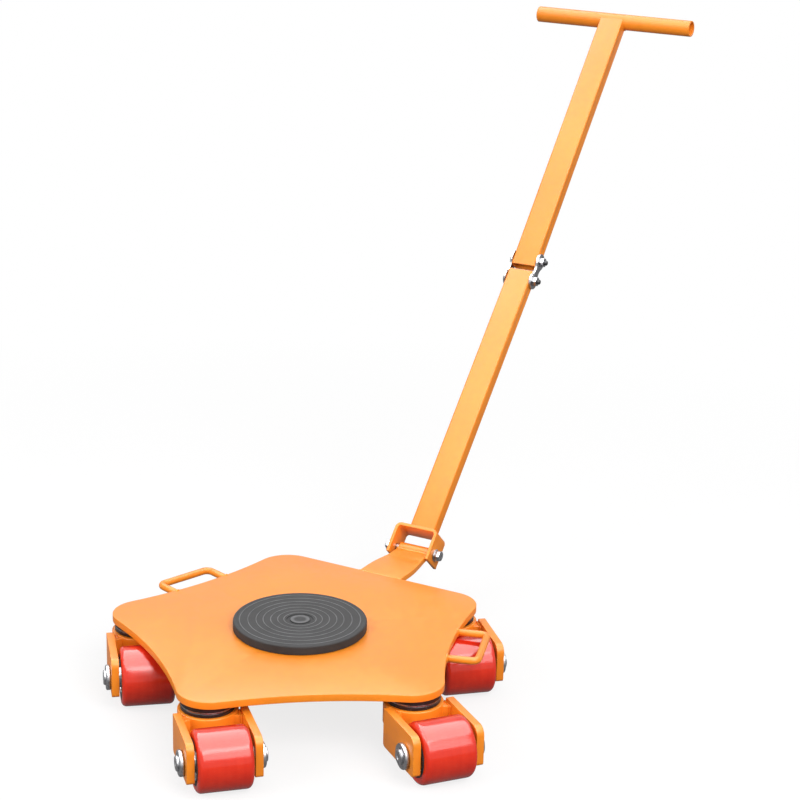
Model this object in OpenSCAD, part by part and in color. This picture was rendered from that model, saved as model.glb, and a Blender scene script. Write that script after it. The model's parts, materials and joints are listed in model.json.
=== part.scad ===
// Steerable machine skate: a five-cornered deck on five swivelling rollers, with a rotating
// load pad on top and a folding tow bar. Millimetres. The origin is the centre of the load
// face, +Z is up and +X points from the deck to the tow bar. The floor is at -load_h.

/* [Load pad] */
// Height of the load face above the floor
load_h = 107; // [106:0.5:109]
// Diameter of the flat load face
pad_face_d = 175; // [150:1:180]
// Width of the rounded rim around the load face
pad_rim = 2.5; // [1:0.5:4]
// Thickness of the rubber over the turntable disc
pad_skin = 6; // [4:0.5:7]

/* [Deck] */
// Width across the two side corners
deck_w = 500; // [480:5:520]
// Radius of each rounded corner
corner_r = 44; // [40:1:48]
// Distance from the centre to the middle of a hollow side
side_mid = 206.5; // [200:0.5:210]
// Thickness of the deck plate
deck_t = 10; // [8:1:12]
// Height of the deck's top face above the floor
deck_top = 94; // [93:0.5:96]

/* [Rollers] */
// Diameter of a roller
roller_d = 80; // [76:1:80]
// Width of a roller
roller_w = 70; // [60:1:70]
// Distance from the centre to each swivel axis
swivel_r = 223; // [221:0.5:224]
// Distance from a swivel axis to its roller's axle
trail = 86; // [84:0.5:88]

/* [Forks] */
// Thickness of each cheek plate
cheek_t = 10; // [8:1:10]
// Lowest height of a cheek above the floor
cheek_low = 21; // [18:1:24]
// Highest height of a cheek above the floor
cheek_high = 74; // [72:1:78]
// Reach of a cheek in front of the swivel axis
cheek_reach = 112; // [108:1:116]
// Radius of the crown drum
crown_r = 39; // [38:0.5:40]

/* [Tow bar] */
// Length from the clevis to the far side of the grip
tow_length = 920; // [880:5:960]
// Width of the bar
bar_w = 40; // [36:1:44]
// Depth of the bar
bar_t = 20; // [18:1:22]
// Lean of the bar from upright
lean = 43; // [30:1:60]
// Small bend of the upper half at the folding joint
kink = 2.2; // [0:0.1:4]
// Length of the grip
grip_l = 265; // [240:5:300]
// Diameter of the grip
grip_d = 25; // [22:0.5:28]

/* [Hidden] */
$fn = 64;
CORNERS = ["front_left", "mid_left", "rear", "mid_right", "front_right"];
CORNER_PARTS = ["crown", "cheeks", "axle", "axle_collar", "roller_tyre", "roller_core",
    "roller_bearings"];

ORANGE = "#f08a2c";
ZINC = "#c4c6c9";
RED = "#cf2a1c";
BLACK = "#1d1e20";
RUBBER = "#3f4245";
IRON = "#6b6d70";
NYLON = "#e6e4da";

// Radial clearance of every running fit, and the gap between faces that slide on each other
fit = 0.05;
slide_gap = 0.1;
eps = 0.01;

// Deck outline: corner circles joined by hollow arcs, with one straight side at the tow bar
corner_pitch = 72;
half_pitch = corner_pitch / 2;
corner_c = (deck_w - 2 * corner_r) / (2 * sin(corner_pitch));
hollow_r = (pow(corner_c, 2) - 2 * corner_c * side_mid * cos(half_pitch) + pow(side_mid, 2)
    - pow(corner_r, 2)) / (2 * corner_r + 2 * corner_c * cos(half_pitch) - 2 * side_mid);
hollow_c = side_mid + hollow_r;
hollow_half = asin(corner_c * sin(half_pitch) / (hollow_r + corner_r));
hollow_beta = atan2(hollow_c * sin(half_pitch), hollow_c * cos(half_pitch) - corner_c);
tow_edge = corner_c * cos(half_pitch) + corner_r;
deck_under = deck_top - deck_t;

// Turntable under the load pad
ring_t = 1;
ring_r = [32, 75];
disc_r = 84;
disc_under = deck_top + ring_t;
disc_t = load_h - pad_skin - disc_under;
pad_r = pad_face_d / 2 + pad_rim;
pad_lift = 0.6;
pad_groove_r = [14.5, 18.5];
pad_groove_depth = 1.5;
pin_r = 15;
pin_thread_r = 12;
pin_tail = 20;
pin_nut_flange = [22, 3];
pin_nut_hex = [36, 11];

// Directions of the rollers at rest, for corners 36, 108, 180, 252 and 324 degrees round
swivel_dirs = [220, 220, 224.5, 232, 223];

// Swivel: a thrust bearing between the deck and the crown, on a stub welded under the deck
bearing_r = [25, 35];
bearing_race = 4.5;
bearing_h = 14;
cage_inset = 1.5;
crown_t = 10;
crown_top = deck_under - bearing_h;
crown_under = crown_top - crown_t;
crown_bevel = 1;
drum_in = 29.5;
drum_low = 40;
kingpin_r = 20;
kingpin_thread_r = 15;
kingpin_low = 44;
kingpin_nut_gap = 0.5;
kingpin_flange = [27, 3];
kingpin_hex = [44, 10];

// Roller on its axle, between the cheeks
roller_r = roller_d / 2;
tyre_in = 30;
tyre_round = 6.5;
bearing_seat = [23.5, 14];
core_bore = 15;
shield_step = 1;
shield_r = [13.5, 20.5];
axle_r = 10;
axle_bevel = 1;
axle_hole_gap = 0.1;
axle_tail = 3;
collar = [17, 6.5];
collar_round = 2;
spacer_r = 14;
side_gap = 3;
cheek_in = roller_w / 2 + side_gap;
cheek_out = cheek_in + cheek_t;
cheek_back = 16;
cheek_round = [2, 12, 5, 5];
weld_arc = [64, 42];
weld_l = 15;
weld_inset = 2;

// Side handles: round bar bent to a U and welded to the hollow sides on the left and right
handle_dirs = [72, 288];
handle_bar_r = 5;
handle_half = 43;
handle_shift = 4;
handle_reach = 248;
handle_bend = 9;

// Tongue: a flat plate that narrows to the barrel which carries the tow pivot
pivot_x = 327;
pivot_z = 92.5;
tongue_t = 8;
tongue_half = [33, 25.5];
tongue_taper = [246, 316];
tongue_steps = 10;
tongue_bend_x = 290;
tongue_rise = 3;
barrel_r = 8.5;
barrel_l = 52;
tow_bolt_r = 5;
tow_washer = [9, 2];
tow_hex = [14, 8];
tow_tail = 3;

// Clevis: flat bar bent to a U, set a little to the left of the bar
clevis_y = [-31, 37.5];
clevis_t = 4.5;
clevis_low = -15;
clevis_high = 32.5;
clevis_depth = 38;
clevis_bend = 9;

// Folding joint: two bolts and a pair of links across the gap between the halves of the bar
tube_wall = 2;
tube_round = 3;
fold_gap = 10;
fold_mid = 482.4;
link_pitch = 34;
link_t = 3;
link_end_r = 12.5;
link_waist = 6.5;
link_lift = 0.2;
fold_bolt_r = 4;
fold_hole_gap = 0.1;
dome = [7, 4.5];
fold_hex = [13, 6.5];
fold_tail = 4;
fold_low = fold_mid - link_pitch / 2;
fold_high = fold_mid + link_pitch / 2;
link_out = bar_w / 2 + link_lift + link_t;

// Grip: a tube whose front runs level with the front of the bar
grip_wall = 2.5;
grip_at = clevis_high + tow_length - grip_d / 2;
grip_sink = grip_d / 2 - bar_t / 2 + 0.1;
bar_end = grip_at - 3;

function polar(r, a) = [r * cos(a), r * sin(a)];
function arc(c, r, a0, a1, n) = [for (i = [0:n]) c + polar(r, a0 + (a1 - a0) * i / n)];
function deck_corner(k) =
    let (mid = half_pitch + k * corner_pitch)
    arc(polar(corner_c, mid), corner_r, mid - (k == 0 ? half_pitch : hollow_beta),
        mid + (k == 4 ? half_pitch : hollow_beta), 16);
function deck_hollow(k) =
    let (mid = (k + 1) * corner_pitch)
    [for (i = [1:11]) polar(hollow_c, mid)
        + polar(hollow_r, mid + 180 + hollow_half * (1 - 2 * i / 12))];
function deck_outline() =
    [for (k = [0:4]) each (k < 4 ? concat(deck_corner(k), deck_hollow(k)) : deck_corner(k))];

// A rectangle with its own radius at each corner: low left, low right, high right, high left
module rounded_plate(lo, hi, r, n = 6) {
    polygon(concat(
        arc([lo.x + r[0], lo.y + r[0]], r[0], 180, 270, n),
        arc([hi.x - r[1], lo.y + r[1]], r[1], 270, 360, n),
        arc([hi.x - r[2], hi.y - r[2]], r[2], 0, 90, n),
        arc([lo.x + r[3], hi.y - r[3]], r[3], 90, 180, n)));
}

// A hexagonal prism given by its width across flats, with its own bore
module hex(size, bore) {
    difference() {
        cylinder(d = size[0] / cos(30), h = size[1], $fn = 6);
        if (bore > 0) translate([0, 0, -1]) cylinder(r = bore, h = size[1] + 2);
    }
}

module ring(r_in, r_out, h) {
    difference() {
        cylinder(r = r_out, h = h);
        translate([0, 0, -1]) cylinder(r = r_in, h = h + 2);
    }
}

// Places a shape that is drawn with z = 0 on the floor
module on_floor() {
    translate([0, 0, -load_h]) children();
}

// Places a shape at one corner: its swivel axis at the origin and its roller towards +X
module at_corner(i) {
    on_floor() rotate(half_pitch + i * corner_pitch) translate([swivel_r, 0, 0])
        rotate(swivel_dirs[i] - half_pitch - i * corner_pitch) children();
}

module at_all_swivels() {
    for (i = [0:4]) at_corner(i) children();
}

// Places a shape at the tow pivot, with +Z along the bar and its front face towards -X
module on_tow_bar() {
    on_floor() translate([pivot_x, 0, pivot_z]) rotate([0, lean, 0]) children();
}

module on_upper_bar() {
    on_tow_bar() translate([0, 0, fold_high]) rotate([0, -kink, 0])
        translate([0, 0, -fold_high]) children();
}

module deck_plate() {
    color(ORANGE) on_floor() difference() {
        translate([0, 0, deck_under]) linear_extrude(deck_t) polygon(deck_outline());
        translate([0, 0, deck_under - 1]) cylinder(r = pin_r + fit, h = deck_t + 2);
    }
}

// The tongue from above. Each side tapers in a smooth curve, without a corner.
function tongue_outline(nose) =
    let (taper = [for (i = [0:tongue_steps]) let (share = i / tongue_steps) [
            tongue_taper[0] * (1 - share) + tongue_taper[1] * share,
            tongue_half[1] + (tongue_half[0] - tongue_half[1]) * (1 + cos(180 * share)) / 2]],
        left = concat([[tow_edge, tongue_half[0]]], taper, [[nose, tongue_half[1]]]))
    concat(left, [for (i = [len(left) - 1:-1:0]) [left[i].x, -left[i].y]]);

module tongue() {
    nose = pivot_x - 2;
    low = deck_top - tongue_t;
    color(ORANGE) on_floor() difference() {
        intersection() {
            linear_extrude(deck_top + 20) polygon(tongue_outline(nose));
            rotate([90, 0, 0]) linear_extrude(4 * tongue_half[0], center = true) polygon([
                [tow_edge, low], [tongue_bend_x, low], [nose, low + tongue_rise],
                [nose, deck_top + tongue_rise], [tongue_bend_x, deck_top],
                [tow_edge, deck_top]]);
        }
        translate([pivot_x, 0, pivot_z]) rotate([90, 0, 0])
            cylinder(r = barrel_r, h = 4 * tongue_half[0], center = true);
    }
}

module tongue_barrel() {
    color(ORANGE) on_floor() translate([pivot_x, barrel_l / 2, pivot_z]) rotate([90, 0, 0])
        ring(tow_bolt_r + fit, barrel_r, barrel_l);
}

module side_handle(dir) {
    elbow = handle_half - handle_bend;
    leg = handle_reach - handle_bend;
    color(ORANGE) on_floor() rotate(dir) intersection() {
        translate([0, handle_shift, deck_top - deck_t / 2]) {
            translate([handle_reach, elbow, 0]) rotate([90, 0, 0])
                cylinder(r = handle_bar_r, h = 2 * elbow);
            for (s = [-1, 1]) {
                translate([side_mid - 2, s * handle_half, 0]) rotate([0, 90, 0])
                    cylinder(r = handle_bar_r, h = leg - side_mid + 2);
                translate([leg, s * elbow, 0]) rotate(s > 0 ? 0 : -90)
                    rotate_extrude(angle = 90) translate([handle_bend, 0])
                        circle(r = handle_bar_r);
            }
        }
        translate([hollow_c, 0, 0]) cylinder(r = hollow_r, h = load_h, $fn = 256);
    }
}

module left_handle() {
    side_handle(handle_dirs[0]);
}

module right_handle() {
    side_handle(handle_dirs[1]);
}

module kingpins() {
    shoulder = crown_under - kingpin_nut_gap;
    color(IRON) at_all_swivels() {
        translate([0, 0, crown_top]) cylinder(r = bearing_r[0] - fit, h = bearing_h);
        translate([0, 0, shoulder]) cylinder(r = kingpin_r, h = crown_top - shoulder + eps);
        translate([0, 0, kingpin_low])
            cylinder(r = kingpin_thread_r, h = shoulder - kingpin_low + eps);
    }
}

module kingpin_nuts() {
    top = crown_under - kingpin_nut_gap - kingpin_flange[1];
    color(ZINC) at_all_swivels() translate([0, 0, top]) {
        ring(kingpin_thread_r, kingpin_flange[0], kingpin_flange[1]);
        translate([0, 0, -kingpin_hex[1]]) hex([kingpin_hex[0], kingpin_hex[1] + eps],
            kingpin_thread_r);
    }
}

// Each bearing is two races with a ball cage between them
module swivel_bearings() {
    low = crown_top + slide_gap;
    high = deck_under - bearing_race;
    color(BLACK) at_all_swivels() {
        translate([0, 0, high]) ring(bearing_r[0], bearing_r[1], bearing_race);
        translate([0, 0, low]) ring(bearing_r[0], bearing_r[1], bearing_race);
        translate([0, 0, low + bearing_race]) ring(bearing_r[0] + cage_inset,
            bearing_r[1] - cage_inset, high - low - bearing_race);
    }
}

module slide_ring() {
    color(NYLON) on_floor() translate([0, 0, deck_top])
        ring(ring_r[0], ring_r[1], ring_t - slide_gap);
}

module turntable_disc() {
    thread_top = deck_under - slide_gap * 3;
    color(IRON) on_floor() {
        translate([0, 0, disc_under]) cylinder(r = disc_r, h = disc_t);
        translate([0, 0, thread_top]) cylinder(r = pin_r, h = disc_under - thread_top + eps);
        translate([0, 0, thread_top - pin_tail])
            cylinder(r = pin_thread_r, h = pin_tail + eps);
    }
}

module turntable_nut() {
    top = deck_under - slide_gap * 3 - pin_nut_flange[1];
    color(ZINC) on_floor() translate([0, 0, top]) {
        ring(pin_thread_r, pin_nut_flange[0], pin_nut_flange[1]);
        translate([0, 0, -pin_nut_hex[1]]) hex([pin_nut_hex[0], pin_nut_hex[1] + eps],
            pin_thread_r);
    }
}

// Rubber cap over the turntable disc, with a skirt down to the deck and a round centre groove
module load_pad() {
    color(RUBBER) on_floor() difference() {
        rotate_extrude($fn = 128) polygon(concat(
            [[0, load_h - pad_skin], [disc_r + fit, load_h - pad_skin],
             [disc_r + fit, deck_top + pad_lift], [pad_r, deck_top + pad_lift]],
            arc([pad_r - pad_rim, load_h - pad_rim], pad_rim, 0, 90, 5),
            [[0, load_h]]));
        translate([0, 0, load_h - pad_groove_depth])
            ring(pad_groove_r[0], pad_groove_r[1], pad_groove_depth + 1);
    }
}

// The crown is a drum with a thick top, round the nut. On each side a weld fills the corner
// between the drum and the cheek.
module crown(i) {
    bore = kingpin_r + fit;
    weld_r = (drum_in + crown_r) / 2;
    weld_h = crown_top - drum_low - 2 * weld_inset;
    color(ORANGE) at_corner(i) {
        rotate_extrude($fn = 96) polygon([
            [bore, crown_under], [drum_in, crown_under], [drum_in, drum_low],
            [crown_r, drum_low], [crown_r, crown_top - crown_bevel],
            [crown_r - crown_bevel, crown_top], [bore, crown_top]]);
        for (s = [0, 1]) mirror([0, s, 0])
            translate([0, 0, drum_low + weld_inset]) linear_extrude(weld_h) polygon([
                polar(weld_r, weld_arc[0]), polar(weld_r, weld_arc[1]),
                [cheek_back + weld_l, cheek_in], [cheek_back, cheek_in]]);
    }
}

module cheeks(i) {
    color(ORANGE) at_corner(i) for (s = [-1, 1]) difference() {
        translate([0, s * (cheek_in + cheek_t / 2), 0]) rotate([90, 0, 0])
            linear_extrude(cheek_t, center = true)
                rounded_plate([cheek_back, cheek_low], [cheek_reach, cheek_high],
                    [cheek_round[2], cheek_round[3], cheek_round[1], cheek_round[0]]);
        translate([trail, 0, roller_r]) rotate([90, 0, 0])
            cylinder(r = axle_r + axle_hole_gap, h = 4 * cheek_out, center = true);
    }
}

// Places a shape on a roller's axle, with +Z along the axle towards its right end
module on_axle(i) {
    at_corner(i) translate([trail, 0, roller_r]) rotate([90, 0, 0]) children();
}

// The collar's outline from one edge of its bore round to the other, on a seat at z = 0
function collar_outline(bore) = concat([[bore, 0]],
    arc([collar[0] - collar_round, collar_round], collar_round, -90, 0, 6),
    arc([collar[0] - collar_round, collar[1] - collar_round], collar_round, 0, 90, 6),
    [[bore, collar[1]]]);

// A round axle with a collar turned on its right end
module axle(i) {
    end = cheek_out + collar[1] + axle_tail;
    color(ZINC) on_axle(i) rotate_extrude() polygon(concat(
        [[0, -end], [axle_r - axle_bevel, -end], [axle_r, axle_bevel - end]],
        [for (p = collar_outline(axle_r)) [p.x, p.y + cheek_out]],
        [[axle_r, end - axle_bevel], [axle_r - axle_bevel, end], [0, end]]));
}

// The loose collar on the axle's left end, and two spacers beside the roller
module axle_collar(i) {
    bore = axle_r + axle_hole_gap;
    color(ZINC) on_axle(i) {
        translate([0, 0, -cheek_out]) mirror([0, 0, 1]) rotate_extrude()
            polygon(collar_outline(bore));
        for (low = [-cheek_in, roller_w / 2 + slide_gap])
            translate([0, 0, low]) ring(bore, spacer_r, side_gap - slide_gap);
    }
}

module roller_tyre(i) {
    half = roller_w / 2;
    color(RED) on_axle(i) rotate_extrude($fn = 96) polygon(concat(
        [[tyre_in, -half]],
        arc([roller_r - tyre_round, -half + tyre_round], tyre_round, -90, 0, 6),
        arc([roller_r - tyre_round, half - tyre_round], tyre_round, 0, 90, 6),
        [[tyre_in, half]]));
}

module roller_core(i) {
    half = roller_w / 2;
    color(IRON) on_axle(i) difference() {
        translate([0, 0, -half]) cylinder(r = tyre_in, h = roller_w);
        translate([0, 0, -half - 1]) cylinder(r = core_bore, h = roller_w + 2);
        for (s = [-1, 1])
            translate([0, 0, s > 0 ? half - bearing_seat[1] : -half - 1])
                cylinder(r = bearing_seat[0], h = bearing_seat[1] + 1);
    }
}

// Two ball bearings, each with a recessed shield between its rings
module roller_bearings(i) {
    low = roller_w / 2 - bearing_seat[1];
    color(IRON) on_axle(i) for (s = [-1, 1]) mirror([0, 0, s > 0 ? 0 : 1])
        translate([0, 0, low]) difference() {
            ring(axle_r + fit, bearing_seat[0], bearing_seat[1]);
            translate([0, 0, bearing_seat[1] - shield_step])
                ring(shield_r[0], shield_r[1], shield_step + 1);
        }
}

// Outline of the U from inside to outside, drawn across the bar (x) and along it (y)
function clevis_outline() =
    let (lo = clevis_y[0], hi = clevis_y[1], t = clevis_t, r = clevis_bend, top = clevis_high)
    concat([[lo, clevis_low], [lo + t, clevis_low]],
        arc([lo + r, top - r], r - t, 180, 90, 6),
        arc([hi - r, top - r], r - t, 90, 0, 6),
        [[hi - t, clevis_low], [hi, clevis_low]],
        arc([hi - r, top - r], r, 0, 90, 6),
        arc([lo + r, top - r], r, 90, 180, 6));

module clevis() {
    color(ORANGE) on_tow_bar() difference() {
        rotate([90, 0, 90]) linear_extrude(clevis_depth, center = true)
            polygon(clevis_outline());
        rotate([90, 0, 0])
            cylinder(r = tow_bolt_r + axle_hole_gap, h = 4 * clevis_depth, center = true);
    }
}

// The tow bolt's head is on the right, outside the clevis
module tow_bolt() {
    head = -clevis_y[0] + tow_washer[1];
    end = clevis_y[1] + tow_washer[1] + tow_hex[1] + tow_tail;
    color(ZINC) on_tow_bar() rotate([90, 0, 0]) {
        translate([0, 0, -end]) cylinder(r = tow_bolt_r, h = end + head);
        translate([0, 0, head - eps]) hex([tow_hex[0], tow_hex[1]], 0);
    }
}

module tow_nut() {
    bore = tow_bolt_r + axle_hole_gap;
    color(ZINC) on_tow_bar() rotate([90, 0, 0]) {
        translate([0, 0, -clevis_y[0]]) ring(bore, tow_washer[0], tow_washer[1] - eps);
        translate([0, 0, -clevis_y[1] - tow_washer[1]]) ring(bore, tow_washer[0], tow_washer[1]);
        translate([0, 0, -clevis_y[1] - tow_washer[1] - tow_hex[1]]) hex(tow_hex, bore);
    }
}

// Rectangular tube from one distance along the bar to another, with a bolt hole across it
module bar_tube(from, to, hole_at) {
    half = [bar_t / 2, bar_w / 2];
    core = half - [tube_wall, tube_wall];
    inner_round = tube_round - tube_wall;
    difference() {
        translate([0, 0, from]) linear_extrude(to - from) difference() {
            rounded_plate(-half, half, [for (i = [0:3]) tube_round], 4);
            rounded_plate(-core, core, [for (i = [0:3]) inner_round], 3);
        }
        translate([0, 0, hole_at]) rotate([90, 0, 0])
            cylinder(r = fold_bolt_r + fold_hole_gap, h = 2 * bar_w, center = true);
    }
}

module lower_bar() {
    color(ORANGE) on_tow_bar() bar_tube(clevis_high, fold_mid - fold_gap / 2, fold_low);
}

// The top end is coped round the grip
module upper_bar() {
    color(ORANGE) on_upper_bar() difference() {
        bar_tube(fold_mid + fold_gap / 2, bar_end, fold_high);
        translate([grip_sink, 0, grip_at]) rotate([90, 0, 0])
            cylinder(r = grip_d / 2, h = 2 * bar_w, center = true, $fn = 96);
    }
}

module tow_grip() {
    color(ORANGE) on_upper_bar() translate([grip_sink, grip_l / 2, grip_at]) rotate([90, 0, 0])
        ring(grip_d / 2 - grip_wall, grip_d / 2, grip_l, $fn = 96);
}

// Two dog-bone plates, one on each side of the bar
module link_plates() {
    neck_r = (pow(link_pitch / 2, 2) + pow(link_waist, 2) - pow(link_end_r, 2))
        / (2 * (link_end_r - link_waist));
    sweep = atan2(link_pitch / 2, link_waist + neck_r);
    neck_x = link_waist + neck_r;
    outline = concat(
        arc([0, link_pitch / 2], link_end_r, -90 + sweep + 0.001, 270 - sweep - 0.001, 20),
        arc([-neck_x, 0], neck_r, 90 - sweep, -90 + sweep, 8),
        arc([0, -link_pitch / 2], link_end_r, 90 + sweep, 450 - sweep, 20),
        arc([neck_x, 0], neck_r, 270 - sweep, 90 + sweep, 8));
    color(ZINC) on_tow_bar() translate([0, 0, fold_mid]) for (s = [-1, 1]) difference() {
        translate([0, s * (link_out - link_t / 2), 0]) rotate([90, 0, 0])
            linear_extrude(link_t, center = true) polygon(outline);
        for (z = [-1, 1]) translate([0, 0, z * link_pitch / 2]) rotate([90, 0, 0])
            cylinder(r = fold_bolt_r + fit, h = 2 * bar_w, center = true);
    }
}

// A bolt across the bar with a domed head on the left
module fold_bolt(at) {
    seat = link_out + slide_gap;
    end = seat + fold_hex[1] + fold_tail;
    dome_r = (pow(dome[0], 2) + pow(dome[1], 2)) / (2 * dome[1]);
    dome_sweep = asin(dome[0] / dome_r);
    color(ZINC) translate([0, 0, at]) rotate([-90, 0, 0]) {
        translate([0, 0, -end]) cylinder(r = fold_bolt_r, h = end + seat + eps);
        translate([0, 0, seat]) rotate_extrude() polygon(concat([[0, 0]],
            arc([0, dome[1] - dome_r], dome_r, 90 - dome_sweep, 90, 6)));
    }
}

module fold_nut(at) {
    color(ZINC) translate([0, -link_out - slide_gap, at]) rotate([90, 0, 0])
        hex(fold_hex, fold_bolt_r + fold_hole_gap);
}

module fold_bolt_lower() {
    on_tow_bar() fold_bolt(fold_low);
}

module fold_nut_lower() {
    on_tow_bar() fold_nut(fold_low);
}

module fold_bolt_upper() {
    on_upper_bar() fold_bolt(fold_high);
}

module fold_nut_upper() {
    on_upper_bar() fold_nut(fold_high);
}

deck_plate();
tongue();
tongue_barrel();
left_handle();
right_handle();
kingpins();
kingpin_nuts();
swivel_bearings();
slide_ring();
turntable_disc();
turntable_nut();
load_pad();
clevis();
tow_bolt();
tow_nut();
lower_bar();
fold_bolt_lower();
fold_nut_lower();
link_plates();
fold_bolt_upper();
fold_nut_upper();
upper_bar();
tow_grip();
for (i = [0:4]) {
    crown(i);
    cheeks(i);
    axle(i);
    axle_collar(i);
    roller_tyre(i);
    roller_core(i);
    roller_bearings(i);
}
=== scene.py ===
"""Looks of a steerable machine skate.

A five-cornered orange deck on red rollers, with a rubber load pad and a folding tow bar."""

import json
import math
from contextlib import contextmanager

import bpy
from mathutils import Matrix, Vector

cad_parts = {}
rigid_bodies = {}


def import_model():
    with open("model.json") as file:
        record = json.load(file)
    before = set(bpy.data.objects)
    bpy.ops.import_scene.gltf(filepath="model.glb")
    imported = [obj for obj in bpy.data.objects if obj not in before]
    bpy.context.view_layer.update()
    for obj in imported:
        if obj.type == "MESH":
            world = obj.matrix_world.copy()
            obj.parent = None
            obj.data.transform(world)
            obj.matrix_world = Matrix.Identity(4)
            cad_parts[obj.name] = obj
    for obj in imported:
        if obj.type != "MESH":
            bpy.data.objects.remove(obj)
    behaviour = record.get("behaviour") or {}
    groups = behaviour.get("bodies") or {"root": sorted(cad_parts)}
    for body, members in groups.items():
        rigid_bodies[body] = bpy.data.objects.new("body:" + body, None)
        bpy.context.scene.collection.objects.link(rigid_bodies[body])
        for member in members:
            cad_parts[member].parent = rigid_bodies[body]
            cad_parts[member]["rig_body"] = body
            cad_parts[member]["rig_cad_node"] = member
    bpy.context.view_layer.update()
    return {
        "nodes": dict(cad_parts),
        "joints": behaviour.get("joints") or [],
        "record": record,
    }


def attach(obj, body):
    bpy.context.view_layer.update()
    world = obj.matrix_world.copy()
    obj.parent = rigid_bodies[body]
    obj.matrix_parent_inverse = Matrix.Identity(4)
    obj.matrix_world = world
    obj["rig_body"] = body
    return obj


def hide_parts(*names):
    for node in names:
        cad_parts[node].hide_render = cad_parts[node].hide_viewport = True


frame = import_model()

# Lengths are written in millimetres and turned into metres where a piece is placed
MM = 0.001
LOAD_H = 107.0
CORNERS = ("front_left", "mid_left", "rear", "mid_right", "front_right")
SIDES = {"right": -1, "left": 1}
JOINTS = {joint["name"]: Vector(joint["pos_m"]) for joint in frame["joints"]}
BODY_OF = {node: body for body, nodes in frame["record"]["behaviour"]["bodies"].items() for node in nodes}
SLOT_OF = {part["node"]: part["material_slot"] for part in frame["record"]["subparts"]}


# Camera and lamps

def outward(azimuth, elevation):
    """The direction from the deck at these angles in degrees."""
    a, e = math.radians(azimuth), math.radians(elevation)
    return Vector((math.cos(a) * math.cos(e), math.sin(a) * math.cos(e), math.sin(e)))


def place_camera():
    """The photograph's view: a long lens 3 m away, looking along the deck towards the tow bar."""
    azimuth, elevation, roll = 208.87, 18.23, math.radians(1.15)
    distance, aim_right, aim_up = 3.040, 0.1216, 0.3934
    focal_px, centre_px, frame_px, sensor = 2239.4, (389.1, 401.5), 800, 36
    back = outward(azimuth, elevation)
    level = outward(azimuth + 90, 0)
    rise = back.cross(level)
    right = level * math.cos(roll) + rise * math.sin(roll)
    up = rise * math.cos(roll) - level * math.sin(roll)
    bpy.ops.object.camera_add()
    camera = bpy.context.object
    place = right * aim_right + up * aim_up + back * distance - Vector((0, 0, LOAD_H * MM))
    camera.matrix_world = Matrix.Translation(place) @ Matrix((right, up, back)).transposed().to_4x4()
    camera.data.sensor_width = sensor
    camera.data.lens = focal_px / frame_px * sensor
    camera.data.shift_x = (frame_px / 2 - centre_px[0]) / frame_px
    camera.data.shift_y = (centre_px[1] - frame_px / 2) / frame_px
    camera.data.clip_end = 60
    bpy.context.scene.camera = camera


def add_softbox(name, azimuth, elevation, distance, width, height, radiance, lights=True, shows=True):
    """A flat lamp that faces the deck, given by the brightness of its face.

    It can light surfaces without showing in their gloss, or show there without lighting them."""
    lamp_power_share = 4
    bpy.ops.object.light_add(type="AREA")
    lamp = bpy.context.object
    lamp.name = name
    lamp.data.shape = "RECTANGLE"
    lamp.data.size, lamp.data.size_y = width, height
    lamp.data.energy = radiance * lamp_power_share * width * height
    lamp.location = outward(azimuth, elevation) * distance
    lamp.rotation_euler = outward(azimuth, elevation).to_track_quat("Z", "Y").to_euler()
    lamp.visible_diffuse, lamp.visible_glossy = lights, shows


# Shader maths as Python expressions

class Value:
    """A socket in a node tree. The operators on it add Math nodes."""

    def __init__(self, shading, socket):
        self.shading, self.socket = shading, socket

    def _math(self, operation, first, second):
        return self.shading.node("ShaderNodeMath", {"operation": operation}, {0: first, 1: second})

    def __add__(self, other):
        return self._math("ADD", self, other)

    __radd__ = __add__

    def __sub__(self, other):
        return self._math("SUBTRACT", self, other)

    def __rsub__(self, other):
        return self._math("SUBTRACT", other, self)

    def __mul__(self, other):
        return self._math("MULTIPLY", self, other)

    __rmul__ = __mul__


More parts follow.
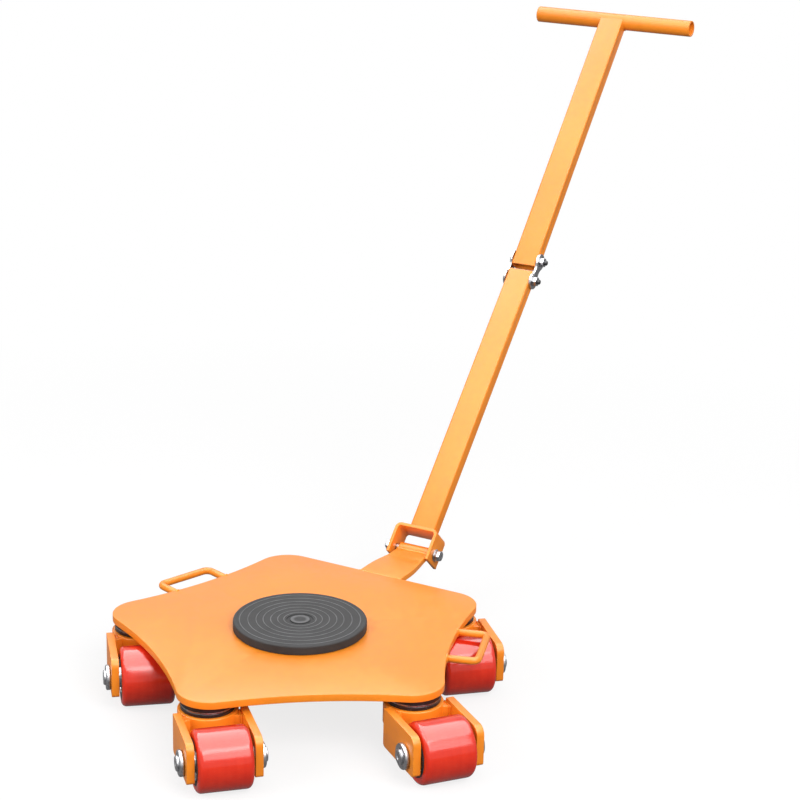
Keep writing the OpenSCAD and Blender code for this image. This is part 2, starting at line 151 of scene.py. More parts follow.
class Shading:
    """A node tree and the few kinds of node that the looks are made of."""

    def __init__(self, tree):
        self.tree = tree

    def node(self, kind, settings=None, values=None, output=0):
        """Adds a node: its settings first, then its sockets' values or links."""
        made = self.tree.nodes.new(kind)
        for name, setting in (settings or {}).items():
            setattr(made, name, setting)
        for key, value in (values or {}).items():
            self.feed(made.inputs[key], value)
        return Value(self, made.outputs[output])

    def feed(self, socket, value):
        if isinstance(value, Value):
            self.tree.links.new(value.socket, socket)
        else:
            socket.default_value = value

    def ray(self, kind):
        """1 where a surface is looked at by this kind of ray, 0 elsewhere."""
        return self.node("ShaderNodeLightPath", output="Is %s Ray" % kind)

    def place(self):
        """Where a point lies in the object's own frame, in metres."""
        return self.node("ShaderNodeTexCoord", output="Object")

    def turned_place(self):
        """Where a point of a turned piece lies round its own axis, Z, in metres."""
        return self.node("ShaderNodeAttribute", {"attribute_name": "turned"}, output="Vector")

    def part(self, vector, axis):
        return self.node("ShaderNodeSeparateXYZ", None, {"Vector": vector}, axis)

    def reach(self, vector, axes=(1, 1, 1)):
        """The length of a vector, counted along some axes only."""
        kept = self.node("ShaderNodeVectorMath", {"operation": "MULTIPLY"}, {0: vector, 1: axes})
        return self.node("ShaderNodeVectorMath", {"operation": "LENGTH"}, {0: kept}, "Value")

    def noise(self, place, scale, detail=2.0, roughness=0.5):
        return self.node("ShaderNodeTexNoise", None,
                         {"Vector": place, "Scale": scale, "Detail": detail, "Roughness": roughness})

    def spread(self, value, low, high, start=0.0, end=1.0):
        """Brings a value from low..high to start..end and holds it there."""
        return self.node("ShaderNodeMapRange", {"clamp": True},
                         {"Value": value, "From Min": low, "From Max": high, "To Min": start, "To Max": end})

    def mix(self, share, first, second):
        """A colour between two colours."""
        return self.node("ShaderNodeMix", {"data_type": "RGBA"}, {0: share, 6: first, 7: second}, 2)

    def mix_shader(self, share, first, second):
        return self.node("ShaderNodeMixShader", None, {0: share, 1: first, 2: second})


class Finish(Shading):
    """A material with the Principled shader, whose constant settings are given by name."""

    def __init__(self, name, **constants):
        self.material = bpy.data.materials.new(name)
        self.material.use_nodes = True
        super().__init__(self.material.node_tree)
        self.shader = self.tree.nodes["Principled BSDF"]
        self.set(**constants)

    def set(self, **values):
        for socket, value in values.items():
            self.feed(self.shader.inputs[socket.replace("_", " ")], value)

    def bump(self, height, distance, strength=1.0):
        """Relief of a height from 0 to 1 over a distance in metres."""
        self.set(Normal=self.node("ShaderNodeBump", None,
                                  {"Height": height, "Distance": distance, "Strength": strength}, "Normal"))


def rgb(red, green, blue):
    return (red, green, blue, 1.0)


def grey(level):
    """A metal's neutral colour, a trace cooler than plain grey."""
    return rgb(level, level, level * 1.03)


# Materials

def orange_paint():
    """Powder coat: fine orange peel, a soft gloss and slight drifts in tone."""
    paint = Finish("orange_paint", Specular_IOR_Level=0.35)
    place = paint.place()
    mottle = paint.noise(place, 90, 3)
    tone = paint.spread(paint.noise(place, 7, 2) * 0.6 + mottle * 0.4, 0.38, 0.62)
    paint.set(Base_Color=paint.mix(tone, rgb(0.87, 0.250, 0.015), rgb(0.93, 0.285, 0.020)),
              Roughness=paint.spread(mottle, 0.3, 0.7, 0.30, 0.40))
    paint.bump(paint.noise(place, 620, 2), 0.00003, 0.5)
    return paint.material


def red_polyurethane():
    """Cast polyurethane, turned to size: faint lathe lines round the tread and a few scuffs."""
    tread = Finish("red_polyurethane", Specular_IOR_Level=0.45)
    place = tread.turned_place()
    along = tread.node("ShaderNodeCombineXYZ", None, {"Z": tread.part(place, "Z")})
    lines = tread.noise(along, 900, 3, 0.7)
    cloud = tread.noise(place, 45, 3) * 0.6 + tread.noise(along, 110, 2) * 0.4
    scuff = tread.spread(tread.noise(place, 160, 4, 0.65), 0.60, 0.78)
    body = tread.mix(tread.spread(cloud, 0.35, 0.65), rgb(0.66, 0.022, 0.007), rgb(0.76, 0.034, 0.011))
    tread.set(Base_Color=tread.mix(scuff * 0.2, body, rgb(0.70, 0.09, 0.05)),
              Roughness=tread.spread(lines, 0.3, 0.7, 0.13, 0.19) + scuff * 0.08)
    tread.bump(lines, 0.00001, 0.5)
    return tread.material


def metal(name, pale, dark, rough, cloud_scale, grain_scale=1000.0, relief=0.00002, metallic=1.0):
    """A metal whose tone and gloss drift in clouds, with a fine grain."""
    skin = Finish(name, Metallic=metallic)
    place = skin.place()
    cloud = skin.noise(place, cloud_scale, 4, 0.6)
    grain = skin.noise(place, grain_scale, 2)
    skin.set(Base_Color=skin.mix(skin.spread(cloud, 0.35, 0.65), grey(dark), grey(pale)),
             Roughness=skin.spread(cloud + grain * 0.4, 0.5, 0.9, *rough))
    skin.bump(grain, relief, 0.5)
    return skin.material


def black_steel():
    """Blackened races of the swivel bearings, oily and slightly worn."""
    black = Finish("black_steel", Metallic=0.2)
    place = black.place()
    wear = black.spread(black.noise(place, 300, 4, 0.65), 0.55, 0.75)
    black.set(Base_Color=black.mix(wear * 0.5, grey(0.012), grey(0.08)),
              Roughness=black.spread(black.noise(place, 120, 3), 0.3, 0.7, 0.30, 0.46))
    return black.material


def pad_rubber():
    """Moulded rubber, a little dusty, with the tops of its raised rings paler in patches and its grooves
    dark.
    """
    rubber = Finish("pad_rubber", Specular_IOR_Level=0.15)
    place = rubber.turned_place()
    grain = rubber.noise(place, 900, 3, 0.6)
    dust = rubber.noise(place, 35, 4, 0.6)
    height = rubber.part(place, "Z")
    raised = rubber.spread(height, (LOAD_H - 0.30) * MM, (LOAD_H - 0.05) * MM)
    # The tops of the raised rings are made paler in patches, following the dust noise.
    paler_ring_tops = raised * rubber.spread(dust, 0.25, 0.6, 0.3)
    on_face = rubber.spread(rubber.reach(place, (1, 1, 0)), 0.0855, 0.0860, 1.0, 0.0)
    bare = rubber.mix(rubber.spread(dust, 0.3, 0.7), grey(0.022), grey(0.036))
    rubber.set(Base_Color=rubber.mix(paler_ring_tops * on_face * 0.75, bare, grey(0.17)),
               Roughness=rubber.spread(dust + grain * 0.5, 0.5, 1.0, 0.58, 0.72))
    rubber.bump(grain, 0.00006, 0.6)
    return rubber.material


def nylon():
    """Natural nylon of the slide ring."""
    plastic = Finish("nylon", Subsurface_Weight=0.1)
    cloud = plastic.noise(plastic.place(), 80, 3)
    plastic.set(Base_Color=plastic.mix(cloud, rgb(0.66, 0.65, 0.58), rgb(0.76, 0.75, 0.69)),
                Roughness=plastic.spread(cloud, 0.3, 0.7, 0.42, 0.52))
    return plastic.material


FINISHES = {
    "orange_paint": orange_paint(),
    "red_polyurethane": red_polyurethane(),
    "zinc_steel": metal("zinc_plate", 0.50, 0.30, (0.24, 0.40), 240, 1400),
    "machined_steel": metal("machined_steel", 0.38, 0.24, (0.34, 0.50), 70, 900, 0.00003),
    "black_steel": black_steel(),
    # Painted shade: this zinc is painted nearly black so the heads look as dark as their faces do when
    # turned away from the light.
    "black_bolt": metal("dark_zinc", 0.08, 0.03, (0.36, 0.50), 260, metallic=0.9),
    # Painted shade: the iron cores are painted nearly black so the gap between cheek and tyre looks as dark
    # as it does in shade.
    "cast_iron": metal("cast_iron", 0.07, 0.03, (0.50, 0.70), 60, 700, 0.00015, 0.3),
    "bearing_steel": metal("bearing_steel", 0.62, 0.48, (0.14, 0.24), 300),
    "pad_rubber": pad_rubber(),
    "nylon": nylon(),
}
BRIGHT_EDGE = metal("bright_edge", 0.42, 0.26, (0.25, 0.40), 200)


# Floor and room

def stage_floor():
    """A plain floor that looks white. It keeps the object's shadow and fades to pure white away from it."""
    glow_near, fade_from, fade_to, mirrored_glow = 0.79, 1.0, 1.7, 0.2
    bpy.ops.mesh.primitive_plane_add(size=30, location=(0, 0, -LOAD_H * MM))
    floor = bpy.context.object
    floor.name = "floor"
    white = Finish("floor_white")
    seen = white.ray("Camera")
    dull = white.node("ShaderNodeBsdfDiffuse", None, {"Color": grey(0.12)})
    pale = white.node("ShaderNodeBsdfDiffuse", None, {"Color": rgb(0.95, 0.95, 0.95)})
    glow = white.node("ShaderNodeEmission", None, {"Color": rgb(1, 1, 1), "Strength": 1.0})
    near = white.spread(white.reach(white.place()), fade_from, fade_to, glow_near, 1.0)
    share = seen * near + (white.ray("Glossy") + white.ray("Transmission")) * mirrored_glow
    surface = white.mix_shader(share, white.mix_shader(seen, dull, pale), glow)
    white.feed(white.tree.nodes["Material Output"].inputs["Surface"], surface)
    floor.data.materials.append(white.material)


def light_room():
    """A white surround for what looks at it directly, a softer one for what it lights, and four lamps.

    Two softboxes light the object. Two panels only show in its gloss."""
    room_light = 0.62
    world = bpy.data.worlds.new("white_room")
    bpy.context.scene.world = world
    world.use_nodes = True
    room = Shading(world.node_tree)
    room.tree.nodes.remove(room.tree.nodes["Background"])
    soft = room.node("ShaderNodeBackground", None, {"Color": rgb(1, 1, 1), "Strength": room_light})
    white = room.node("ShaderNodeBackground", None, {"Color": rgb(1, 1, 1), "Strength": 1.0})
    seen = room.ray("Camera") + room.ray("Glossy") + room.ray("Transmission")
    room.feed(room.tree.nodes["World Output"].inputs["Surface"], room.mix_shader(seen, soft, white))
    add_softbox("front_softbox", 241, 40, 4.5, 3.0, 3.0, 4.2, shows=False)
    add_softbox("left_fill", 150, 28, 4.5, 3.0, 3.0, 2.4, shows=False)
    add_softbox("front_panel", 243, 42, 4.5, 2.8, 2.9, 4.0, lights=False)
    add_softbox("overhead_panel", 90, 86, 3.1, 5.6, 5.6, 5.6, lights=False)
    bpy.context.scene.view_settings.view_transform = "Standard"


# Tools for making pieces

def only(piece):
    """Selects one object alone and makes it the active one."""
    bpy.ops.object.select_all(action="DESELECT")
    piece.select_set(True)
    bpy.context.view_layer.objects.active = piece


@contextmanager
def editing(piece):
    """Edit mode on one object, with everything in it selected at the start."""
    only(piece)
    bpy.ops.object.mode_set(mode="EDIT")
    bpy.ops.mesh.select_all(action="SELECT")
    yield
    bpy.ops.object.mode_set(mode="OBJECT")


def named(piece, name):
    piece.name = name
    piece.data.name = name
    return piece


def smooth(piece, degrees=32):
    only(piece)
    bpy.ops.object.shade_smooth_by_angle(angle=math.radians(degrees))


def applied(piece, kind, **settings):
    """Adds a modifier with these settings and applies it."""
    modifier = piece.modifiers.new(kind.lower(), kind)
    for name, setting in settings.items():
        setattr(modifier, name, setting)
    only(piece)
    bpy.ops.object.modifier_apply(modifier=modifier.name)


def placed(piece, place):
    """Puts a piece that was made at the origin where it belongs, with its place in its mesh."""
    piece.matrix_world = place
    only(piece)
    bpy.ops.object.transform_apply(location=True, rotation=True, scale=True)
    return piece


def another(piece, name):
    """A copy with its own mesh."""
    only(piece)
    bpy.ops.object.duplicate(linked=False)
    return named(bpy.context.object, name)


def joined(name, pieces):
    bpy.ops.object.select_all(action="DESELECT")
    for piece in pieces:
        piece.select_set(True)
    bpy.context.view_layer.objects.active = pieces[0]
    bpy.ops.object.join()
    return named(bpy.context.object, name)


def painted(piece, material):
    piece.data.materials.clear()
    piece.data.materials.append(material)
    return piece


def goes_with(piece, node):
    """Gives a piece the body and slot of the node that it sits on or stands for.

    A piece that has no finish yet also gets the slot's."""
    slot = SLOT_OF[node]
    if not piece.data.materials:
        painted(piece, FINISHES[slot])
    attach(piece, BODY_OF[node])


def stands_for(piece, node):
    """Hides the solid that a piece stands for."""
    goes_with(piece, node)
    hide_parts(node)


def eased(node, width=0.8, segments=3, crease=32):
    """Stands in for a solid with a copy whose sharp edges are rounded, as on coated plate."""
    source = frame["nodes"][node]
    piece = source.copy()
    piece.data = source.data.copy()
    bpy.context.scene.collection.objects.link(piece)
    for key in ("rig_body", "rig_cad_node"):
        del piece[key]
    piece.parent = None
    named(piece, "eased_" + node)
    piece.data.materials.clear()
    with editing(piece):
        bpy.ops.mesh.remove_doubles(threshold=0.000005)
        bpy.ops.mesh.dissolve_limited(angle_limit=math.radians(0.4))
    applied(piece, "BEVEL", width=width * MM, segments=segments, limit_method="ANGLE",
            angle_limit=math.radians(crease), miter_outer="MITER_ARC")
    smooth(piece)
    stands_for(piece, node)


def turned(name, profile, sides=64):
    """A lathe piece round Z: a circle that is extruded and resized from point to point of a profile.

    The profile lists (radius, height) in mm. Where it starts or ends on the axis it is closed there;
    otherwise its last point is carried back to its first."""
    on_axis = [profile[0][0] == 0, profile[-1][0] == 0]
    rings = [point for point in profile if point[0] > 0]
    if not any(on_axis):
        rings = rings + rings[:1]
    radius, height = rings[0]
    bpy.ops.object.select_all(action="DESELECT")
    bpy.ops.mesh.primitive_circle_add(vertices=sides, radius=radius * MM, location=(0, 0, 0),
                                      fill_type="NGON" if on_axis[0] else "NOTHING")
    piece = named(bpy.context.object, name)
    with editing(piece):
        bpy.ops.transform.translate(value=(0, 0, height * MM))
        bpy.ops.mesh.select_mode(type="EDGE")
        if on_axis[0]:
            bpy.ops.mesh.region_to_loop()
        for wider, higher in rings[1:]:
            bpy.ops.mesh.extrude_edges_move(
                TRANSFORM_OT_translate={"value": (0, 0, (higher - height) * MM)})
            bpy.ops.transform.resize(value=(wider / radius, wider / radius, 1),
                                     center_override=(0, 0, higher * MM))
            radius, height = wider, higher
        if on_axis[1]:
            bpy.ops.mesh.edge_face_add()
        bpy.ops.mesh.select_mode(type="VERT")
        bpy.ops.mesh.select_all(action="SELECT")
        bpy.ops.mesh.remove_doubles(threshold=0.000002)
        bpy.ops.mesh.normals_make_consistent(inside=False)
    keep_turned_place(piece)
    smooth(piece)
    return piece


def keep_turned_place(piece):
    """Stores where each point lies round the piece's own axis, for patterns that follow it."""
    stored = piece.data.attributes.new("turned", "FLOAT_VECTOR", "POINT")
    stored.data.foreach_set("vector", [value for vertex in piece.data.vertices for value in vertex.co])


def arc_points(centre, radius, start, end, steps):
    """Profile points round an arc; angles in degrees, from the radius direction towards +Z."""
    turns = [math.radians(start + (end - start) * step / steps) for step in range(steps + 1)]
    return [(centre[0] + radius * math.cos(turn), centre[1] + radius * math.sin(turn)) for turn in turns]


def thread(radius, low, high, pitch=1.5, depth=0.6):
    """Profile of a threaded length, from its upper end down."""
    count = max(1, round((high - low) / pitch))
    step = (high - low) / count
    crests = [point for turn in range(count)
              for point in ((radius, high - (turn + 0.5) * step),
                            (radius - depth, high - (turn + 1) * step))]
    return [(radius - depth, high)] + crests


def hexagon(name, flats, height, chamfered=(True, True), sides=72):
    """A hexagonal head or nut from z = 0 to its height, with its corners turned off at the ends."""
    corner = flats / 2 / math.cos(math.radians(30))
    face, drop = flats * 0.48, (corner - flats * 0.48) * math.tan(math.radians(30))
    bpy.ops.object.select_all(action="DESELECT")
    bpy.ops.mesh.primitive_cylinder_add(vertices=6, radius=corner * MM, depth=height * MM,
                                        location=(0, 0, height / 2 * MM))
    piece = named(bpy.context.object, name)
    bpy.ops.object.transform_apply(location=True, rotation=True, scale=True)
    low = [(0, 0), (face, 0), (corner + 0.2, drop)] if chamfered[0] else [(0, -0.5), (corner + 1, -0.5)]
    high = [(corner + 0.2, height - drop), (face, height), (0, height)] if chamfered[1] else \
        [(corner + 1, height + 0.5), (0, height + 0.5)]
    cutter = turned(name + "_cutter", low + high, sides)
    applied(piece, "BOOLEAN", object=cutter, operation="INTERSECT", solver="EXACT")
    bpy.data.objects.remove(cutter)
    applied(piece, "BEVEL", width=0.25 * MM, segments=2, limit_method="ANGLE", angle_limit=math.radians(25))
    keep_turned_place(piece)
    smooth(piece, 25)
    return piece


def weld(name, points, size, node):
    """A weld bead: overlapping ripples along a path in metres, fused into one skin."""
    bpy.ops.object.select_all(action="DESELECT")
    bpy.ops.mesh.primitive_uv_sphere_add(segments=12, ring_count=8, radius=size * MM, location=points[0])
    piece = named(bpy.context.object, name)
    bpy.ops.object.transform_apply(location=True, rotation=True, scale=True)
    with editing(piece):
        for point in points[1:]:
            bpy.ops.mesh.primitive_uv_sphere_add(segments=12, ring_count=8, radius=size * MM, location=point)
    applied(piece, "REMESH", mode="VOXEL", voxel_size=size * 0.22 * MM)
    applied(piece, "SMOOTH", factor=0.5, iterations=1)
    smooth(piece, 60)
    goes_with(piece, node)


def path(place, corners, pitch):
    """Points about a pitch apart along straight lines from corner to corner, in mm in a placed frame."""
    found = [place @ (Vector(corners[0]) * MM)]
    for start, end in zip(corners, corners[1:]):
        start, end = Vector(start), Vector(end)
        count = max(1, round((end - start).length / pitch))
        found += [place @ (start.lerp(end, (step + 1) / count) * MM) for step in range(count)]
    return found


def hoop(place, radius, pitch):
    """Points about a pitch apart round a circle in the XY plane of a placed frame, in mm."""
    count = round(2 * math.pi * radius / pitch)
    return [place @ (outward(360 * step / count, 0) * radius * MM) for step in range(count)]


# Where the pieces go

def axis_turn(axis, degrees):
    return Matrix.Rotation(math.radians(degrees), 4, axis)


def shift(x=0.0, y=0.0, z=0.0):
    return Matrix.Translation((x * MM, y * MM, z * MM))


def floor_place(x=0.0, y=0.0, z=0.0):
    """A point in mm from the deck's centre on the floor."""
    return shift(x, y, z - LOAD_H)


def corner_place(corner):
    """On the floor under a swivel axis, with X towards the roller."""
    pivot = JOINTS["swivel_" + corner]
    trail = JOINTS["roll_" + corner] - pivot
    direction = Matrix.Rotation(math.atan2(trail.y, trail.x), 4, "Z")
    return Matrix.Translation((pivot.x, pivot.y, -LOAD_H * MM)) @ direction


def axle_place(corner):
    """At the middle of a roller, with Z along the axle towards its right end."""
    axle = JOINTS["roll_" + corner]
    return Matrix.Translation(axle) @ corner_place(corner).to_3x3().to_4x4() @ axis_turn("X", 90)


TOW_PIVOT, FOLD_LOW, FOLD_HIGH = (JOINTS[name] for name in ("tow_pivot", "fold_lower", "fold_upper"))
LEAN = math.degrees(math.atan2(FOLD_LOW.x - TOW_PIVOT.x, FOLD_LOW.z - TOW_PIVOT.z))
KINK = 2.2


def bar_place(along=0.0):
    """On the axis of the lower bar, with Z along the bar and X towards its back."""
    return Matrix.Translation(TOW_PIVOT) @ axis_turn("Y", LEAN) @ shift(z=along)


def upper_place(along=0.0):
    """The same on the upper bar; along is still measured from the tow pivot."""
    fold_high = (FOLD_HIGH - TOW_PIVOT).length / MM
    return Matrix.Translation(FOLD_HIGH) @ axis_turn("Y", LEAN - KINK) @ shift(z=along - fold_high)


# Deck

DECK_TOP = 94.0
DECK_T = 10.0


def make_deck():
    """Deck plate, tongue and barrel, with the welds that hold the tongue and the barrel."""
    tow_edge, tongue_half, barrel_x, barrel_half = 219.2, 33.0, 317.6, 24.5
    side_low, side_high, top_bead, barrel_bead = 86.8, 92.6, 92.9, 95.2
    eased("deck_plate", 0.8, 3)
    eased("tongue", 0.9)
    eased("tongue_barrel", 0.8)
    ground = floor_place()
    for hand, side in SIDES.items():
        y = side * (tongue_half + 0.4)
        upright = [(tow_edge, y, side_low), (tow_edge, y, side_high)]
        weld("weld_tongue_" + hand, path(ground, upright, 1.2), 1.6, "tongue")
    across = [(tow_edge - 0.3, -tongue_half, top_bead), (tow_edge - 0.3, tongue_half, top_bead)]
    weld("weld_tongue_top", path(ground, across, 1.1), 1.7, "tongue")
    along_barrel = [(barrel_x, -barrel_half, barrel_bead), (barrel_x, barrel_half, barrel_bead)]
    weld("weld_barrel", path(ground, along_barrel, 0.9), 2.6, "tongue")


def make_handles():
    leg_half, leg_shift, leg_seat = 43.0, 4.0, 207.6
    bead_ring_r, bead_pitch, bead_size = 4.6, 1.4, 1.8
    for hand, direction in (("left", 72), ("right", 288)):
        node = hand + "_handle"
        eased(node, 0.3, 1, 60)
        level = floor_place(z=DECK_TOP - DECK_T / 2) @ axis_turn("Z", direction)
        for end, y in (("back", leg_shift - leg_half), ("front", leg_shift + leg_half)):
            seat = level @ shift(leg_seat, y) @ axis_turn("Y", 90)
            weld("weld_%s_handle_%s" % (hand, end), hoop(seat, bead_ring_r, bead_pitch), bead_size, node)


# Load pad and turntable

def make_load_pad():
    """The rubber pad: narrow raised rings, a round groove and a dimple in its middle."""
    face_r, rim, skin, disc_r, lift = 87.5, 2.5, 6.0, 84.05, 0.6
    ring_radii, ring_half, ring_rise = (81.2, 70.0, 59.0, 49.5, 39.5, 30.0, 21.8), 0.55, 0.45
    groove_in, groove_out, groove_deep, dimple_r, dimple_deep = 13.2, 17.6, 1.8, 5.0, 1.4
    low_face = LOAD_H - ring_rise
    rings = []
    for radius in ring_radii:
        rings += [(radius + ring_half + 0.4, low_face), (radius + ring_half, LOAD_H),
                  (radius - ring_half, LOAD_H), (radius - ring_half - 0.4, low_face)]
    edge = arc_points((face_r, LOAD_H - rim), rim, 0, 90, 6)
    edge += [(face_r - 1.5, LOAD_H), (face_r - 2.0, low_face)]
    groove_floor, dimple_floor = LOAD_H - groove_deep, LOAD_H - dimple_deep
    middle = [(groove_out + 0.6, low_face), (groove_out, groove_floor), (groove_in + 0.5, groove_floor),
              (groove_in, low_face + 0.2), (groove_in - 1.4, LOAD_H), (dimple_r + 3.0, LOAD_H - 0.2),
              (dimple_r, LOAD_H - 0.6), (dimple_r - 1.5, dimple_floor), (0, dimple_floor)]
    under = [(0, LOAD_H - skin), (disc_r, LOAD_H - skin), (disc_r, DECK_TOP + lift),
             (face_r + rim - 0.8, DECK_TOP + lift), (face_r + rim, DECK_TOP + lift + 0.8)]
    pad = turned("ringed_load_pad", under + edge + rings + middle, 160)
    placed(pad, floor_place())
    stands_for(pad, "load_pad")


def flange_nut(name, flats, hex_h, bore, flange_r, flange_t, hex_low):
    """A hexagon under a flange, with its lower end at a height."""
    nut = hexagon(name + "_hex", flats, hex_h + 0.2, (True, False))
    slope = flange_r - 2.5
    flange = turned(name + "_flange", [(bore, hex_h), (slope, hex_h), (flange_r, hex_h + flange_t / 2),
                                       (flange_r, hex_h + flange_t), (bore, hex_h + flange_t)])
    whole = joined(name, [nut, flange])
    return placed(whole, shift(z=hex_low))


def make_turntable():
    eased("turntable_disc", 0.6)
    flats, hex_h, bore, flange_r, flange_t, hex_low = 36, 11.0, 12.0, 22.0, 3.0, 69.7
    nut = flange_nut("pin_flange_nut", flats, hex_h, bore, flange_r, flange_t, hex_low)
    placed(nut, floor_place())
    stands_for(nut, "turntable_nut")


# Swivels

def copies_at_corners(pieces, place_of):
    """Puts a copy of each piece, which is given with its node's name, at every corner."""
    for corner in CORNERS:
        for piece, node in pieces:
            copy = another(piece, "%s_%s" % (piece.name, corner))
            placed(copy, place_of(corner))
            stands_for(copy, node % corner if "%" in node else node)
    for piece, node in pieces:
        bpy.data.objects.remove(piece)


def make_swivels():
    """Bearings, kingpins and flange nuts. A bright gap ring shows between the black races."""
    bore, rim, low, high = 25.0, 35.0, 70.1, 84.0
    gap_low, gap_high = 75.2, 77.4
    stub_r, neck_r, thread_r, neck_top, neck_low, pin_low = 24.95, 20, 15, 69.8, 60.2, 44
    flats, hex_h, flange_r, flange_t, hex_low = 44, 10.0, 27.0, 3.0, 46.5
    lower = turned("lower_race", [(bore, low), (rim - 0.9, low), (rim, low + 0.9), (rim, gap_low - 0.4),
                                  (rim - 0.4, gap_low), (bore, gap_low)], 72)
    upper = turned("upper_race", [(bore, gap_high), (rim - 0.4, gap_high), (rim, gap_high + 0.4),
                                  (rim, high - 0.1), (bore, high - 0.1)], 72)
    cage = turned("gap_ring", [(bore + 1.5, gap_low), (rim - 0.7, gap_low), (rim - 0.5, gap_low + 1.1),
                               (rim - 0.7, gap_high), (bore + 1.5, gap_high)], 72)
    for race in (lower, upper):
        painted(race, FINISHES["black_steel"])
    painted(cage, BRIGHT_EDGE)
    bearing = joined("thrust_bearing", [lower, upper, cage])
    pin = turned("kingpin", [(0, high), (stub_r, high), (stub_r, neck_top + 0.2), (neck_r, neck_top),
                             (neck_r, neck_low), (neck_r - 0.6, neck_low - 0.7), (thread_r, neck_low - 0.7)]
                 + thread(thread_r, pin_low + 1.4, 55, 2, 0.8)
                 + [(thread_r - 1.4, pin_low), (0, pin_low)], 72)
    nut = flange_nut("kingpin_flange_nut", flats, hex_h, thread_r, flange_r, flange_t, hex_low)
    copies_at_corners([(bearing, "swivel_bearings"), (pin, "kingpins"), (nut, "kingpin_nuts")], corner_place)


# Forks

CHEEK_IN = 38.0
CHEEK_OUT = 48.0


def make_forks():
    """Cheeks and crown drums with their welds, and the axles with a collar at each end."""
    axle_r, bore, spacer_r, spacer_t = 10.0, 10.1, 14.0, 2.9
    collar_r, collar_t, collar_round, tail = 17.0, 6.5, 2.2, 3.0
    end = CHEEK_OUT + collar_t + tail
    rim = arc_points((collar_r - collar_round, collar_round), collar_round, -90, 0, 5) \
        + arc_points((collar_r - collar_round, collar_t - collar_round), collar_round, 0, 90, 5)
    on_axle = [(radius, CHEEK_OUT + height) for radius, height in rim]
    stub = [(axle_r, end - 1.2), (axle_r - 1.2, end), (4.2, end), (3.2, end - 1.0), (0, end - 1.0)]
    far_stub = [(radius, -height) for radius, height in reversed(stub)]
    axle = turned("round_axle", far_stub + [(axle_r, CHEEK_OUT)] + on_axle
                  + [(axle_r, CHEEK_OUT + collar_t)] + stub)
    collar = turned("loose_collar", [(bore, 0)] + rim + [(bore, collar_t)])
    placed(collar, shift(z=-CHEEK_OUT) @ axis_turn("X", 180))
    spacers = [turned("spacer", [(bore, low), (spacer_r, low),
                                 (spacer_r, low + spacer_t), (bore, low + spacer_t)])
               for low in (CHEEK_IN - spacer_t, -CHEEK_IN)]
    collars = joined("collar_and_spacers", [collar] + spacers)
    copies_at_corners([(axle, "axle_%s"), (collars, "axle_collar_%s")], axle_place)
    for corner in CORNERS:
        eased("cheeks_" + corner, 1.1, 4)
        eased("crown_" + corner, 0.7)
        make_fork_welds(corner)


def make_fork_welds(corner):
    """Beads round the blocks between crown drum and cheeks: up the front, over and down the back."""
    block_front, block_back, low, top = 31.2, 15.8, 43.5, 68.3
    for hand, side in SIDES.items():
        y = side * (CHEEK_IN - 0.9)
        corners = [(block_front, y, low), (block_front, y, top - 0.8), (block_back, y, top),
                   (block_back, y, low)]
        beads = path(corner_place(corner), corners, 1.5)
        weld("weld_crown_%s_%s" % (corner, hand), beads, 1.8, "crown_" + corner)


# Rollers

def make_rollers():
    """Tyres with rounded shoulders on turned iron cores, and two shielded ball bearings in each."""
    radius, half, tyre_in, shoulder = 40.0, 35.0, 30.0, 6.5
    tyre = turned("roller_tread", [(tyre_in, -half)]
                  + arc_points((radius - shoulder, -half + shoulder), shoulder, -90, 0, 9)
                  + [(radius, step * 7.0) for step in range(-3, 4)]
                  + arc_points((radius - shoulder, half - shoulder), shoulder, 0, 90, 9)
                  + [(tyre_in, half)], 128)
    core_bore, seat_r, seat_z = 15, 23.5, 21
    end_face = [(seat_r, half - 0.6), (24.1, half), (27.0, half), (27.3, half - 0.4), (28.6, half - 0.4),
                (28.9, half), (29.95, half)]
    bore = [(core_bore, -seat_z), (seat_r, -seat_z)]
    core = turned("roller_core", bore + [(r, -z) for r, z in end_face] + list(reversed(end_face))
                  + [(seat_r, seat_z), (core_bore, seat_z)], 72)
    bearing = turned("ball_bearing", [
        (10.05, 21.4), (10.4, 21.1), (23.1, 21.1), (23.4, 21.5), (23.4, 34.6), (23, 35), (20.6, 35),
        (20.5, 34), (20.2, 33.9), (13.8, 33.9), (13.5, 34), (13.4, 35), (10.5, 35), (10.05, 34.6)], 72)
    other = another(bearing, "other_bearing")
    placed(other, axis_turn("X", 180))
    bearings = joined("ball_bearings", [bearing, other])
    copies_at_corners([(tyre, "roller_tyre_%s"), (core, "roller_core_%s"), (bearings, "roller_bearings_%s")],
                      axle_place)


# Tow bar

def make_clevis():
    """The U of flat bar and the bolt across it, with its head on the right."""
    near, far, washer_t, head_h, tail, bolt_r = 31.0, 37.5, 2.0, 8.0, 3.0, 5.0
    eased("clevis", 0.8, 3)
    across = bar_place() @ axis_turn("X", 90)
    nut_end = far + washer_t + head_h
    top = near + washer_t + 1
    shaft = turned("tow_shaft", [(0, top), (bolt_r, top), (bolt_r, -far - washer_t)]
                   + thread(bolt_r, -nut_end - tail + 0.6, -far - washer_t - 0.4, 1.2, 0.5)
                   + [(bolt_r - 1, -nut_end - tail), (0, -nut_end - tail)], 32)
    head = hexagon("tow_head", 14, head_h, (False, True), 48)
    placed(head, shift(z=near + washer_t))
    bolt = joined("tow_bolt_full", [shaft, head])
    washer = turned("tow_washer", [(5.1, 0), (8.7, 0), (9, 0.3), (9, 1.6), (8.6, 1.95), (5.1, 1.95)], 48)
    far_washer = another(washer, "tow_washer_far")
    placed(washer, shift(z=near))
    placed(far_washer, shift(z=-far) @ axis_turn("X", 180))
    nut = hexagon("tow_hex", 14, head_h, (True, True), 48)
    placed(nut, shift(z=-nut_end))
    nuts = joined("tow_nut_and_washers", [nut, washer, far_washer])
    for piece, node in ((bolt, "tow_bolt"), (nuts, "tow_nut")):
        placed(piece, across)
        stands_for(piece, node)


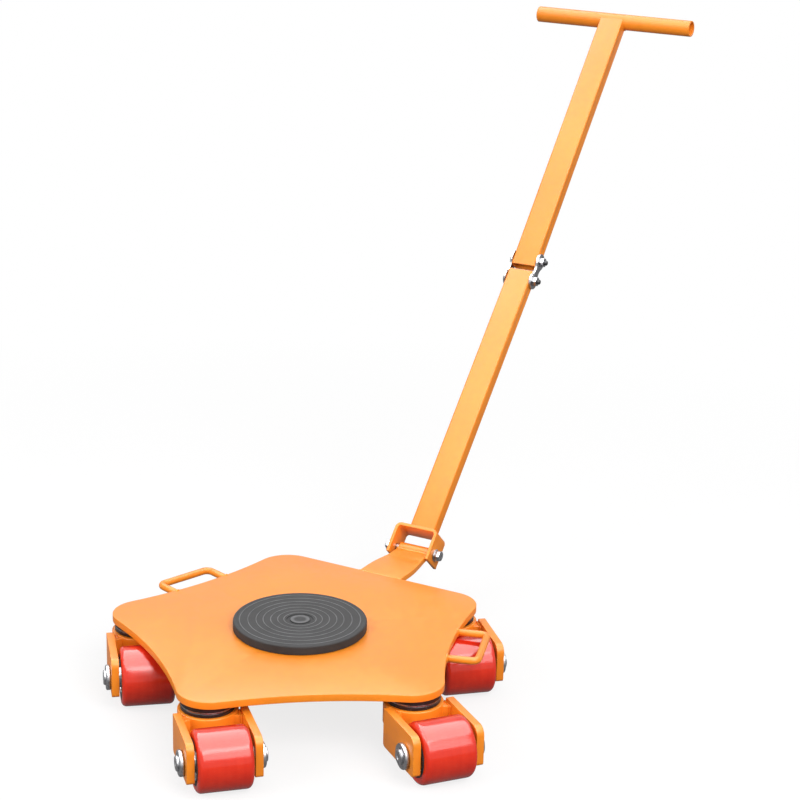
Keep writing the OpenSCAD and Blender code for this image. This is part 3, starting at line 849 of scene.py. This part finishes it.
def make_bars():
    """Both halves of the bar and the grip, with the welds at the bar's foot and at the grip."""
    bar_half_x, bar_half_y, clevis_top = 10.0, 20.0, 32.5
    grip_r, grip_axis, front_bead = 12.5, (2.6, 940.0), 937.4
    eased("lower_bar", 0.5, 2)
    eased("upper_bar", 0.5, 2)
    eased("tow_grip", 0.7, 3)
    x, y = bar_half_x + 0.3, bar_half_y + 0.3
    foot = [(-x, -y, 0), (x, -y, 0), (x, y, 0), (-x, y, 0), (-x, -y, 0)]
    weld("weld_bar_foot", path(bar_place(clevis_top + 0.3), foot, 1.0), 2.2, "lower_bar")
    for hand, side in SIDES.items():
        round_grip = [(along_x, side * (bar_half_y - 0.2), along_z)
                      for along_x, along_z in arc_points(grip_axis, grip_r - 0.2, -57, -152, 8)]
        weld("weld_grip_" + hand, path(upper_place(), round_grip, 1.0), 1.6, "upper_bar")
    front = [(-bar_half_x + 1.1, y, front_bead) for y in (-bar_half_y, bar_half_y)]
    weld("weld_grip_front", path(upper_place(), front, 0.9), 1.2, "upper_bar")


def make_fold():
    """Links with a domed bolt and a nut through each of their ends."""
    seat, nut_h, tail, bolt_r, dome_h, dome_r = 23.2, 6.5, 4.0, 4.0, 4.6, 7.9
    low_end = -seat - nut_h - tail
    low_at, high_at = 465.4, 499.4
    eased("link_plates", 0.6, 3)
    for node, place in (("lower", bar_place(low_at)), ("upper", upper_place(high_at))):
        across = place @ axis_turn("X", -90)
        shaft = turned("fold_shaft", [(0, seat + 0.2), (bolt_r, seat + 0.2), (bolt_r, -seat - 0.2)]
                       + thread(bolt_r, low_end + 0.6, -seat - 0.3, 1.25, 0.5)
                       + [(bolt_r - 0.8, low_end), (0, low_end)], 32)
        dome = turned("fold_dome", [(0, seat + 0.1), (6.7, seat + 0.1), (7, seat + 0.6)]
                      + arc_points((0, seat + dome_h - dome_r), dome_r, 30, 70, 6)
                      + [(2.2, seat + 4.4), (2.0, seat + 2.4), (0, seat + 2.4)], 40)
        bolt = joined("fold_bolt_full_" + node, [shaft, dome])
        nut = hexagon("fold_nut_full_" + node, 13, nut_h - 0.1, (True, True), 48)
        placed(nut, shift(z=-seat - nut_h))
        for piece, kind in ((bolt, "fold_bolt_"), (nut, "fold_nut_")):
            placed(piece, across)
            stands_for(piece, kind + node)


def finish_plain_nodes():
    """Solids that already have their final shape keep it and get their finish."""
    for node, solid in frame["nodes"].items():
        if not solid.hide_render:
            painted(solid, FINISHES[SLOT_OF[node]])


place_camera()
stage_floor()
light_room()
make_deck()
make_handles()
make_load_pad()
make_turntable()
make_swivels()
make_forks()
make_rollers()
make_clevis()
make_bars()
make_fold()
finish_plain_nodes()
